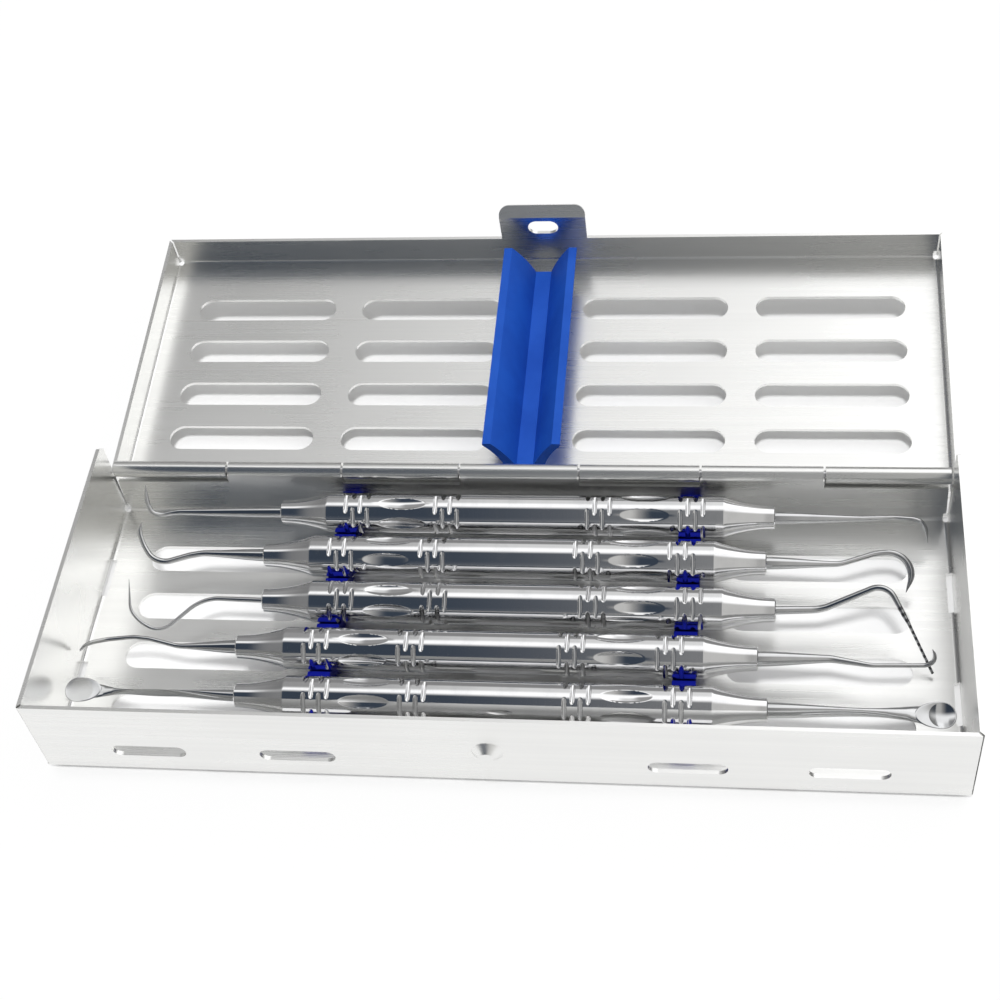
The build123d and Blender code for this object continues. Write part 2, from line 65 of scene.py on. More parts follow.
# ---- Shader expressions -----------------------------------------------------------------
class Value:
    """A number that a shader works out, with the operators that shader maths needs."""

    def __init__(self, graph: Graph, socket: Any) -> None:
        """Wraps an output socket.

        Args:
            graph: the node tree that the socket is in.
            socket: the output socket that carries the number.
        """
        self.graph = graph
        self.socket = socket

    def _pair(self, operation: str, first: Any, second: Any) -> Value:
        """Adds a Math node.

        Args:
            operation: the node's operation, such as "ADD".
            first: its first number or Value.
            second: its second number or Value.

        Returns:
            The node's result.
        """
        return self.graph.node("ShaderNodeMath", {"operation": operation}, {0: first, 1: second})

    def __add__(self, other: Any) -> Value:
        """Sum of the two."""
        return self._pair("ADD", self, other)

    __radd__ = __add__

    def __mul__(self, other: Any) -> Value:
        """Product of the two."""
        return self._pair("MULTIPLY", self, other)

    __rmul__ = __mul__

    def __sub__(self, other: Any) -> Value:
        """This value less the other."""
        return self._pair("SUBTRACT", self, other)

    def __rsub__(self, other: Any) -> Value:
        """The other value less this one."""
        return self._pair("SUBTRACT", other, self)

    def __truediv__(self, other: Any) -> Value:
        """This value over the other."""
        return self._pair("DIVIDE", self, other)

    def __gt__(self, other: Any) -> Value:
        """1 where this value is the larger, and 0 elsewhere."""
        return self._pair("GREATER_THAN", self, other)

    def __abs__(self) -> Value:
        """Size without sign."""
        return self._pair("ABSOLUTE", self, 0.0)

    def step(self, low: float, high: float, to_low: float = 0.0, to_high: float = 1.0) -> Value:
        """Eases from one number to another as this value crosses a span.

        Args:
            low: where the easing starts.
            high: where it ends.
            to_low: the result before the span.
            to_high: the result after it.

        Returns:
            The eased number.
        """
        settings = {"interpolation_type": "SMOOTHSTEP"}
        sockets = {"Value": self, "From Min": low, "From Max": high, "To Min": to_low, "To Max": to_high}
        return self.graph.node("ShaderNodeMapRange", settings, sockets)


class Graph:
    """A node tree, written as expressions."""

    def __init__(self, owner: Any) -> None:
        """Empties the owner's tree.

        Args:
            owner: the material or world whose nodes this graph writes.
        """
        owner.use_nodes = True
        self.tree = owner.node_tree
        self.tree.nodes.clear()

    def node(self, kind: str, settings: dict[str, Any], sockets: dict[Any, Any], out: Any = 0) -> Value:
        """Adds one node.

        Args:
            kind: the node's Blender type.
            settings: its own settings, such as a Math node's operation.
            sockets: numbers, colours or Values by the input's name or place.
            out: the output's name or place.

        Returns:
            The chosen output.
        """
        made = self.tree.nodes.new(kind)
        for name, setting in settings.items():
            setattr(made, name, setting)
        for name, given in sockets.items():
            if isinstance(given, Value):
                self.tree.links.new(given.socket, made.inputs[name])
            else:
                made.inputs[name].default_value = given
        return Value(self, made.outputs[out])

    def place(self) -> Value:
        """Position in the cassette's frame in metres, as a vector."""
        return self.node("ShaderNodeTexCoord", {}, {}, "Object")

    def parts(self, vector: Value) -> tuple[Value, Value, Value]:
        """Splits a vector.

        Args:
            vector: the vector to split.

        Returns:
            Its X, Y and Z.
        """
        split = self.node("ShaderNodeSeparateXYZ", {}, {0: vector})
        return tuple(Value(self, output) for output in split.socket.node.outputs)

    def stretched(self, vector: Value, scale: tuple[float, float, float]) -> Value:
        """Scales a vector along each axis."""
        sockets = {"Vector": vector, "Scale": scale}
        return self.node("ShaderNodeMapping", {"vector_type": "POINT"}, sockets)

    def noise(self, vector: Value, scale: float, detail: float = 3.0, rough: float = 0.55) -> Value:
        """Smooth noise around 0.5.

        Args:
            vector: where it is read.
            scale: cells per unit of the vector.
            detail: octaves.
            rough: weight of each octave against the last.

        Returns:
            The noise, from 0 to 1.
        """
        sockets = {"Vector": vector, "Scale": scale, "Detail": detail, "Roughness": rough}
        return self.node("ShaderNodeTexNoise", {}, sockets, "Fac")

    def blend(self, share: Any, first: Any, second: Any) -> Value:
        """Mixes two colours.

        Args:
            share: 0 gives the first and 1 the second.
            first: a colour or a Value.
            second: a colour or a Value.

        Returns:
            The mixed colour.
        """
        colours = [c if isinstance(c, Value) else (*c, 1.0) for c in (first, second)]
        sockets = {0: share, 6: colours[0], 7: colours[1]}
        return self.node("ShaderNodeMix", {"data_type": "RGBA"}, sockets, 2)

    def bump(self, height: Value, depth: float, strength: float = 1.0) -> Value:
        """Turns a height from 0 to 1 into a normal.

        Args:
            height: the height.
            depth: what a height of 1 stands for, in metres.
            strength: how much of the bump shows.

        Returns:
            The bent normal.
        """
        return self.node("ShaderNodeBump", {}, {"Height": height, "Distance": depth, "Strength": strength})

    def surface(self, shader: Value, kind: str = "ShaderNodeOutputMaterial") -> None:
        """Ends the tree in an output.

        Args:
            shader: what the output shows.
            kind: the output's Blender type.
        """
        made = self.tree.nodes.new(kind)
        self.tree.links.new(shader.socket, made.inputs["Surface"])


# ---- Finishes ---------------------------------------------------------------------------
@dataclass(frozen=True)
class BrushedSheet:
    """Stainless sheet with a grain along X, and smoother walls at its two ends.

    The grain is noise drawn out along X, with cells per metre along each axis. Its ridges
    are finer than the eye, so what they do is to spread reflections across the grain. An end
    wall is told by its normal, which lies along X.
    """

    tint: Colour = (0.89, 0.89, 0.875)
    shade: Colour = (0.84, 0.84, 0.83)
    roughness: float = 0.25
    spread: float = 0.08
    depth: float = 0.00002
    end_tint: Colour = (0.87, 0.87, 0.855)
    end_shade: Colour = (0.83, 0.83, 0.82)
    ridge_cells: tuple[float, float, float] = (26.0, 5200.0, 5200.0)
    grain_cells: tuple[float, float, float] = (7.0, 900.0, 900.0)
    cloud_cells: float = 34.0
    smudge_cells: float = 75.0

    def material(self, name: str) -> Any:
        """Writes the material.

        Args:
            name: the material's name.

        Returns:
            The Blender material.
        """
        made = bpy.data.materials.new(name)
        graph = Graph(made)
        place = graph.place()
        facing, _, _ = graph.parts(graph.node("ShaderNodeNewGeometry", {}, {}, "Normal"))
        end = abs(facing).step(0.6, 0.9)
        fine = graph.noise(graph.stretched(place, self.ridge_cells), 1.0, 2.0, 0.5)
        line = graph.noise(graph.stretched(place, self.grain_cells), 1.0, 3.0, 0.6).step(0.25, 0.75)
        cloud = graph.noise(place, self.cloud_cells, 2.0, 0.5).step(0.35, 0.7)
        smudge = graph.noise(place, self.smudge_cells, 3.0, 0.6).step(0.5, 0.75)
        worn = line * 0.5 * (1.0 - end) + cloud * 0.5
        grained = graph.blend(line * 0.5 + cloud * 0.25, self.tint, self.shade)
        plain = graph.blend(smudge, self.end_tint, self.end_shade)
        ridges = graph.node("ShaderNodeMix", {"data_type": "FLOAT"}, {0: end, 2: fine, 3: 0.5}, 0)
        shader = graph.node(
            "ShaderNodeBsdfPrincipled",
            {},
            {
                "Base Color": graph.blend(end, grained, plain),
                "Metallic": 1.0,
                "Roughness": self.roughness + self.spread * worn,
                "Normal": graph.bump(ridges, self.depth),
            },
        )
        graph.surface(shader)
        return made


@dataclass(frozen=True)
class TurnedSteel:
    """Bright steel with the faint rings that turning and buffing leave round an X axis."""

    tint: Colour = (0.80, 0.80, 0.805)
    shade: Colour = (0.66, 0.665, 0.675)
    roughness: float = 0.06
    spread: float = 0.07
    depth: float = 0.0000008
    ring_cells: tuple[float, float, float] = (5200.0, 110.0, 110.0)
    haze_cells: float = 240.0
    mark: Colour = (0.05, 0.05, 0.055)

    def material(self, name: str, bands: tuple[float, float] | None = None) -> Any:
        """Writes the material.

        Args:
            name: the material's name.
            bands: where dark graduations start along the piece's length, and their pitch,
                in the millimetres of its UV map.

        Returns:
            The Blender material.
        """
        made = bpy.data.materials.new(name)
        graph = Graph(made)
        rings = graph.noise(graph.stretched(graph.place(), self.ring_cells), 1.0, 2.0, 0.6)
        haze = graph.noise(graph.place(), self.haze_cells, 3.0, 0.55).step(0.4, 0.75)
        colour = graph.blend(haze * 0.35 + rings * 0.2, self.tint, self.shade)
        if bands:
            start, pitch = bands
            run = (graph.parts(graph.node("ShaderNodeTexCoord", {}, {}, "UV"))[0] - start) / pitch
            phase = graph.node("ShaderNodeMath", {"operation": "FRACT"}, {0: run})
            dark = phase.step(0.42, 0.5) * phase.step(0.92, 1.0, 1.0, 0.0) * (run > 0.0)
            colour = graph.blend(dark * 0.8, colour, self.mark)
        shader = graph.node(
            "ShaderNodeBsdfPrincipled",
            {},
            {
                "Base Color": colour,
                "Metallic": 1.0,
                "Roughness": self.roughness + self.spread * haze,
                "Normal": graph.bump(rings, self.depth),
            },
        )
        graph.surface(shader)
        return made


TIP_FINISH = TurnedSteel(tint=(0.62, 0.625, 0.63), shade=(0.5, 0.505, 0.515), roughness=0.09)


@dataclass(frozen=True)
class Silicone:
    """Moulded silicone: an even, satin colour with a very fine mould grain and a little dust."""

    tint: Colour = (0.012, 0.086, 0.46)
    shade: Colour = (0.01, 0.07, 0.4)
    roughness: float = 0.5
    grain_cells: float = 3500.0
    grain_depth: float = 0.00001
    dust_cells: float = 90.0

    def material(self, name: str) -> Any:
        """Writes the material.

        Args:
            name: the material's name.

        Returns:
            The Blender material.
        """
        made = bpy.data.materials.new(name)
        graph = Graph(made)
        grain = graph.noise(graph.place(), self.grain_cells, 2.0, 0.5)
        dust = graph.noise(graph.place(), self.dust_cells, 3.0, 0.6).step(0.3, 0.7)
        shader = graph.node(
            "ShaderNodeBsdfPrincipled",
            {},
            {
                "Base Color": graph.blend(dust, self.tint, self.shade),
                "Roughness": self.roughness + 0.12 * dust,
                "Specular IOR Level": 0.2,
                "Normal": graph.bump(grain, self.grain_depth, 0.5),
            },
        )
        graph.surface(shader)
        return made


def dress(node: Any, material: Any) -> None:
    """Gives a CAD node one material.

    Args:
        node: the CAD node's object.
        material: what it wears.
    """
    node.data.materials.clear()
    node.data.materials.append(material)


# ---- Surfaces ---------------------------------------------------------------------------
def smooth(knots: np.ndarray, values: np.ndarray, at: np.ndarray) -> np.ndarray:
    """Cubic curve through knots.

    On a span of width h, with s running from 0 to 1, the value is (2s^3 - 3s^2 + 1)a +
    (s^3 - 2s^2 + s)h ma + (3s^2 - 2s^3)b + (s^3 - s^2)h mb, where a and b are the span's
    ends and each slope m is the mean of its neighbouring chords, weighted by the far width.

    Args:
        knots: rising positions, shape (n,).
        values: what the curve passes through, shape (n, k).
        at: positions to work out, shape (m,).

    Returns:
        The curve's values, shape (m, k).
    """
    width = np.diff(knots)[:, None]
    chord = np.diff(values, axis=0) / width
    inner = (chord[:-1] * width[1:] + chord[1:] * width[:-1]) / (width[1:] + width[:-1])
    slope = np.vstack([chord[:1], inner, chord[-1:]])
    span = np.clip(np.searchsorted(knots, at, side="right") - 1, 0, len(knots) - 2)
    s = ((at - knots[span]) / width[span, 0])[:, None]
    h = width[span]
    return (
        (2 * s**3 - 3 * s**2 + 1) * values[span]
        + (s**3 - 2 * s**2 + s) * h * slope[span]
        + (3 * s**2 - 2 * s**3) * values[span + 1]
        + (s**3 - s**2) * h * slope[span + 1]
    )


def skin(name: str, grid: np.ndarray, sharp: float = 40.0, along: np.ndarray | None = None) -> Any:
    """Closes a grid of rings into one solid skin.

    Each ring is joined to the next by four-sided faces, its last point to its first, and
    each end ring by a fan to its middle. The skin is turned outwards where its signed
    volume, the sum of a . (b x c) / 6 over its triangles, comes out negative.

    Args:
        name: the object's name.
        grid: ring points in metres, shape (rings, points, 3).
        sharp: faces that meet at more than this many degrees keep a crisp edge.
        along: a number for each ring, kept as the U of a UV map.

    Returns:
        The new object, at the origin.
    """
    rings, points, _ = grid.shape
    places = np.vstack([grid.reshape(-1, 3), grid[0].mean(axis=0), grid[-1].mean(axis=0)])
    index = np.arange(rings * points).reshape(rings, points)
    beside = np.roll(index, -1, axis=1)
    quads = np.stack([index[:-1], beside[:-1], beside[1:], index[1:]], axis=-1).reshape(-1, 4)
    first = np.stack([beside[0], index[0], np.full(points, rings * points)], axis=-1)
    last = np.stack([index[-1], beside[-1], np.full(points, rings * points + 1)], axis=-1)
    fans = np.vstack([first, last])
    triangles = np.vstack([quads[:, [0, 1, 2]], quads[:, [0, 2, 3]], fans])
    a, b, c = (places[triangles[:, corner]] for corner in range(3))
    if np.einsum("ij,ij->", a, np.cross(b, c)) < 0:
        quads, fans = quads[:, ::-1], fans[:, ::-1]
    mesh = bpy.data.meshes.new(name)
    mesh.from_pydata(places.tolist(), [], quads.tolist() + fans.tolist())
    mesh.polygons.foreach_set("use_smooth", np.ones(len(mesh.polygons), dtype=bool))
    mesh.set_sharp_from_angle(angle=radians(sharp))
    if along is not None:
        corner_points = np.empty(len(mesh.loops), dtype=np.int32)
        mesh.loops.foreach_get("vertex_index", corner_points)
        u = np.concatenate([np.repeat(along, points), along[:1], along[-1:]])[corner_points]
        layer = mesh.uv_layers.new(name="Length")
        layer.data.foreach_set("uv", np.stack([u, np.zeros_like(u)], axis=-1).ravel().astype(np.float32))
    made = bpy.data.objects.new(name, mesh)
    bpy.context.scene.collection.objects.link(made)
    return made


# ---- Trays ------------------------------------------------------------------------------
@dataclass
class Trays:
    """The two folded sheet-steel trays and the wire pin that joins them."""

    base_finish: BrushedSheet = BrushedSheet()
    lid_finish: BrushedSheet = BrushedSheet(
        tint=(0.86, 0.86, 0.845), shade=(0.82, 0.82, 0.81), roughness=0.24, depth=0.000015
    )
    pin_finish: TurnedSteel = TurnedSteel(tint=(0.6, 0.6, 0.61), roughness=0.25)

    def dress(self, nodes: dict[str, Any]) -> None:
        """Gives both trays and the pin their finishes.

        Args:
            nodes: the CAD nodes by name.
        """
        dress(nodes["base_tray"], self.base_finish.material("base_sheet"))
        dress(nodes["lid"], self.lid_finish.material("lid_sheet"))
        dress(nodes["hinge_pin"], self.pin_finish.material("pin_wire"))
        LOG.info("trays and hinge pin dressed")


@dataclass
class Silicones:
    """The two rails in the base and the hold-down bar in the lid."""

    rail_finish: Silicone = Silicone(tint=(0.006, 0.012, 0.3), shade=(0.005, 0.01, 0.25))
    bar_finish: Silicone = Silicone()

    def dress(self, nodes: dict[str, Any]) -> None:
        """Gives the rails and the bar their finishes.

        Args:
            nodes: the CAD nodes by name.
        """
        rail = self.rail_finish.material("rail_silicone")
        for name in ("left_rail", "right_rail"):
            dress(nodes[name], rail)
        dress(nodes["lid_bar"], self.bar_finish.material("bar_silicone"))
        LOG.info("silicone dressed")


# ---- Instruments ------------------------------------------------------------------------
@dataclass
class Handle:
    """A turned handle with milled grip rings and finger scoops. Sizes are in millimetres.

    Its radius is the lesser of the turned profile and of every cut. A grip groove is cut
    by a rounded wheel that passes straight across, so at x from its middle and at an angle
    t from its deepest line it reaches (R - d sqrt(1 - (x/w)^2)) / cos t. A scoop is cut by
    a spindle that lies along the handle, c from its axis and r(x) = r - s (x/h)^2 thick, so
    it reaches c cos t - sqrt(r(x)^2 - (c sin t)^2). Rings and scoops have a turn for each
    end, left first. Ring places run outwards from the handle's middle.
    """

    name: str
    middle_x: float
    middle_y: float
    ring_turns: tuple[float, float]
    scoop_turns: tuple[float, float]
    height: float = 8.0
    radius: float = 4.3
    barrel: float = 41.7
    half: float = 52.2
    ferrule: float = 2.4
    groove_half: float = 0.5
    groove_depth: float = 0.65
    ring_groups: tuple[float, float] = (35.2, 16.0)
    ring_offsets: tuple[float, ...] = (2.33, 0.78, -0.78, -2.33)
    scoop_x: float = 25.5
    scoop_half: float = 5.0
    scoop_depth: float = 0.55
    cutter: float = 2.8
    points: int = 240

    def rings(self) -> list[tuple[float, float]]:
        """Places of the grip rings.

        Returns:
            Each ring's x from the handle's middle, and the angle of its first groove, in
            degrees from the top towards the front.
        """
        return [
            (side * (group + offset), self.ring_turns[end] + 45.0 * (place % 2))
            for end, side in enumerate((-1, 1))
            for group in self.ring_groups
            for place, offset in enumerate(self.ring_offsets)
        ]

    def stations(self) -> np.ndarray:
        """Places of the rings of points, closest where the surface is milled.

        Returns:
            Rising x from the handle's middle, shape (n,).
        """
        wheel = self.groove_half * np.sin(np.linspace(-np.pi / 2, np.pi / 2, 13))
        wheel = np.concatenate([wheel, [-self.groove_half - 0.03, self.groove_half + 0.03]])
        milled = np.concatenate([x + wheel for x, _ in self.rings()])
        scoop = np.linspace(-self.scoop_half - 0.1, self.scoop_half + 0.1, 44)
        scoops = np.concatenate([side * self.scoop_x + scoop for side in (-1, 1)])
        bell = np.linspace(self.barrel, self.half - 0.2, 26)
        plain = np.linspace(-12.0, 12.0, 13)
        edge = self.barrel - 0.02
        everything = np.concatenate([milled, scoops, bell, -bell, plain, [edge, -edge]])
        return np.unique(np.round(everything, 4))

    def turned(self, x: np.ndarray) -> np.ndarray:
        """Radius of the turned blank: a full barrel with a bell to each ferrule.

        Args:
            x: places from the handle's middle.

        Returns:
            The radius at each.
        """
        beyond = np.abs(x) - self.barrel
        knots = np.array([0.0, 1.8, 3.6, 5.6, 7.8, 10.3])
        radii = np.array([self.radius, 3.74, 3.27, 2.86, 2.55, self.ferrule])
        bell = smooth(knots, radii[:, None], np.clip(beyond, 0.0, 10.3))[:, 0]
        return np.where(beyond > 0, bell, self.radius)

    def milled(self, x: np.ndarray, turn: np.ndarray) -> np.ndarray:
        """Radius once the grooves and scoops are cut.

        Args:
            x: places from the handle's middle, shape (n, 1).
            turn: angles from the top towards the front in degrees, shape (1, m).

        Returns:
            The radius at each, shape (n, m).
        """
        radius = np.repeat(self.turned(x[:, 0])[:, None], turn.shape[1], axis=1)
        for place, first in self.rings():
            across = (x - place) / self.groove_half
            floor = self.radius - self.groove_depth * np.sqrt(np.clip(1 - across**2, 0, 1))
            off = (turn - first + 45.0) % 90.0 - 45.0
            cut = floor / np.cos(np.radians(off))
            radius = np.where(np.abs(across) < 0.9999, np.minimum(radius, cut), radius)
        away = self.radius - self.scoop_depth + self.cutter
        for side, first in zip((-1, 1), self.scoop_turns):
            along = (x - side * self.scoop_x) / self.scoop_half
            off = np.radians((turn - first + 30.0) % 60.0 - 30.0)
            spindle = self.cutter - self.scoop_depth * along**2
            reach = spindle**2 - (away * np.sin(off)) ** 2
            cut = away * np.cos(off) - np.sqrt(np.maximum(reach, 0.0))
            radius = np.where((np.abs(along) < 1) & (reach > 0), np.minimum(radius, cut), radius)
        return radius

    def build(self, finish: Any, body: str) -> None:
        """Makes the handle and puts it in its CAD node's place.

        Args:
            finish: the Blender material that it wears.
            body: the CAD body that it rides on.
        """
        x = self.stations()
        turn = np.arange(self.points) * 360.0 / self.points
        radius = self.milled(x[:, None], turn[None, :])
        ends = np.array([[self.half, self.ferrule - 0.2], [self.half, 1.6]])
        x = np.concatenate([-ends[::-1, 0], x, ends[:, 0]])
        closed = np.repeat(ends[:, 1:], self.points, axis=1)
        radius = np.vstack([closed[::-1], radius, closed])
        angle = np.radians(turn)[None, :]
        grid = np.stack(
            [
                np.repeat(x[:, None], self.points, axis=1) + self.middle_x,
                self.middle_y - radius * np.sin(angle),
                self.height + radius * np.cos(angle),
            ],
            axis=-1,
        )
        made = skin(f"{self.name}_grip", grid * MM, sharp=30.0)
        made.data.materials.append(finish)
        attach(made, body)
        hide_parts(f"{self.name}_handle")


@dataclass
class WorkingEnd:
    """A tapered shank and its blade. Sizes are in millimetres.

    The spine is straight between stations and rounds each one by an arc that takes up the
    same length on both sides. Each ring's width lies as near to Y as the spine lets it, and
    its thickness square to that. A spoon's head is the part of a ball's cap under a flat
    top, drawn out towards the neck and hollowed by a second ball.

    A station is x, y, z, half width and half thickness. A spoon is the x, y, z of its
    middle, its radius, its depth and the radius of the ball that hollows it.
    """

    side: str
    stations: tuple[tuple[float, float, float, float, float], ...]
    spoon: tuple[float, float, float, float, float, float] | None = None
    bend_share: float = 0.45
    bend_radius: float = 9.0
    arc_steps: int = 14
    shank_steps: int = 24
    head_steps: int = 24
    root: float = 6.0
    rim: float = 0.3
    neck: float = 1.85
    tilt: float = 12.0
    points: int = 40

    def spine(self) -> tuple[np.ndarray, np.ndarray]:
        """Works out the line and the ovals along it.

        A bend from P to Q round the corner C, with w the cosine of half its turn, runs
        through ((1-s)^2 P + 2w s(1-s) C + s^2 Q) / ((1-s)^2 + 2w s(1-s) + s^2), which is
        an arc of a circle.

        Returns:
            Centres, half widths and half thicknesses, shape (n, 5), and the length run at
            each centre, shape (n,).
        """
        table = np.array(self.stations)
        outward = -1.0 if self.side == "left" else 1.0
        corner = table[:, :3]
        leg = np.diff(corner, axis=0)
        length = np.linalg.norm(leg, axis=1)
        ahead = leg / length[:, None]
        half_turn = np.arccos(np.clip((ahead[:-1] * ahead[1:]).sum(axis=1), -1, 1)) / 2
        room = self.bend_share * np.minimum(length[:-1], length[1:])
        room = np.minimum(room, self.bend_radius * np.tan(half_turn))[:, None]
        start, end = corner[1:-1] - ahead[:-1] * room, corner[1:-1] + ahead[1:] * room
        s = np.linspace(0, 1, self.arc_steps)[None, :, None]
        weight = np.cos(half_turn)[:, None, None]
        blend = 2 * weight * s * (1 - s)
        above = (1 - s) ** 2 * start[:, None] + blend * corner[1:-1, None] + s**2 * end[:, None]
        arcs = above / ((1 - s) ** 2 + blend + s**2)
        root = corner[0] - np.array([outward * self.root, 0, 0])
        shank = corner[0] + (start[0] - corner[0]) * np.linspace(0, 0.98, self.shank_steps)[:, None]
        line = np.vstack([root, shank, arcs.reshape(-1, 3), corner[-1]])
        run = np.concatenate([[0.0], np.cumsum(np.linalg.norm(np.diff(line, axis=0), axis=1))])
        middles = 1 + self.shank_steps + np.arange(len(arcs)) * self.arc_steps + self.arc_steps // 2
        marks = np.concatenate([[0.0], run[1:2], run[middles], run[-1:]])
        halves = np.vstack([table[:1, 3:], table[:, 3:]])
        return np.hstack([line, smooth(marks, halves, run)]), run

    def head(self, name: str) -> Any:
        """Makes a spoon's head, as rings from its underside's middle round the rim to the hollow's.

        The outside is a circle on the far side and half an ellipse on the neck's, longer by
        the factor neck, and the hollow is round.

        Args:
            name: the new object's name.

        Returns:
            The head.
        """
        x, y, z, radius, depth, ball = self.spoon
        cap = (radius**2 + depth**2) / (2 * depth)
        top = depth / 3
        out = radius * np.sin(np.linspace(0.02, np.pi / 2, self.head_steps))
        below = top - depth + cap - np.sqrt(cap**2 - out**2)
        lip = radius - self.rim
        within = lip * np.sin(np.linspace(np.pi / 2, 0.02, self.head_steps))
        above = top + np.sqrt(ball**2 - lip**2) - np.sqrt(ball**2 - within**2)
        edge = np.array([[radius - 0.08, top + 0.06], [radius - 0.2, top + 0.06]])
        profile = np.vstack([np.stack([out, below], axis=1), edge, np.stack([within, above], axis=1)])
        angle = np.linspace(0, 2 * np.pi, 96, endpoint=False)[None, :]
        lean = np.radians(self.tilt)
        outer = (np.arange(len(profile)) < len(out) + len(edge))[:, None]
        inward = np.cos(angle) * (1.0 if self.side == "left" else -1.0)
        flat_x, flat_y, up = (
            profile[:, :1] * np.cos(angle) * np.where(outer & (inward > 0), self.neck, 1.0),
            profile[:, :1] * np.sin(angle),
            np.repeat(profile[:, 1:], angle.size, axis=1),
        )
        grid = np.stack(
            [
                x + flat_x,
                y + flat_y * np.cos(lean) - up * np.sin(lean),
                z + flat_y * np.sin(lean) + up * np.cos(lean),
            ],
            axis=-1,
        )
        return skin(name, grid * MM, sharp=50.0)

    def build(self, name: str, finish: Any, body: str) -> None:
        """Makes the working end and puts it in its CAD node's place.

        A spoon's shank stops where its head's round part begins.

        Args:
            name: the instrument's name.
            finish: the Blender material that it wears.
            body: the CAD body that it rides on.
        """
        line, length = self.spine()
        if self.spoon:
            clear = np.linalg.norm(line[:, :3] - np.array(self.spoon[:3]), axis=1) > self.spoon[3]
            line, length = line[clear], length[clear]
        centre = line[:, :3]
        run = np.gradient(centre, length, axis=0)
        run /= np.linalg.norm(run, axis=1, keepdims=True)
        level = np.array([0.0, 1.0, 0.0]) - run * run[:, 1:2]
        level /= np.linalg.norm(level, axis=1, keepdims=True)
        rise = np.cross(run, level)
        angle = np.linspace(0, 2 * np.pi, self.points, endpoint=False)[None, :, None]
        half = np.maximum(line[:, 3:], 0.03)
        grid = (
            centre[:, None]
            + level[:, None] * half[:, None, :1] * np.cos(angle)
            + rise[:, None] * half[:, None, 1:] * np.sin(angle)
        )
        pieces = [skin(f"{name}_end_{self.side}", grid * MM, sharp=35.0, along=length)]
        if self.spoon:
            pieces.append(self.head(f"{name}_head_{self.side}"))
        for piece in pieces:
            piece.data.materials.append(finish)
            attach(piece, body)
            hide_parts(f"{name}_tip_{self.side}")


@dataclass
class Instrument:
    """One double-ended hand instrument, with the graduations of its right end if it has any."""

    handle: Handle
    left: WorkingEnd
    right: WorkingEnd
    graduated: tuple[float, float] | None = None

    def build(self, grip: Any, tip: Any) -> None:
        """Makes its handle and both ends.

        Args:
            grip: the handle's Blender material.
            tip: the ends'.
        """
        name = self.handle.name
        self.handle.build(grip, name)
        self.left.build(name, tip, name)
        marked = TIP_FINISH.material(f"{name}_scale", self.graduated) if self.graduated else tip
        self.right.build(name, marked, name)
        LOG.info("%s built", name)


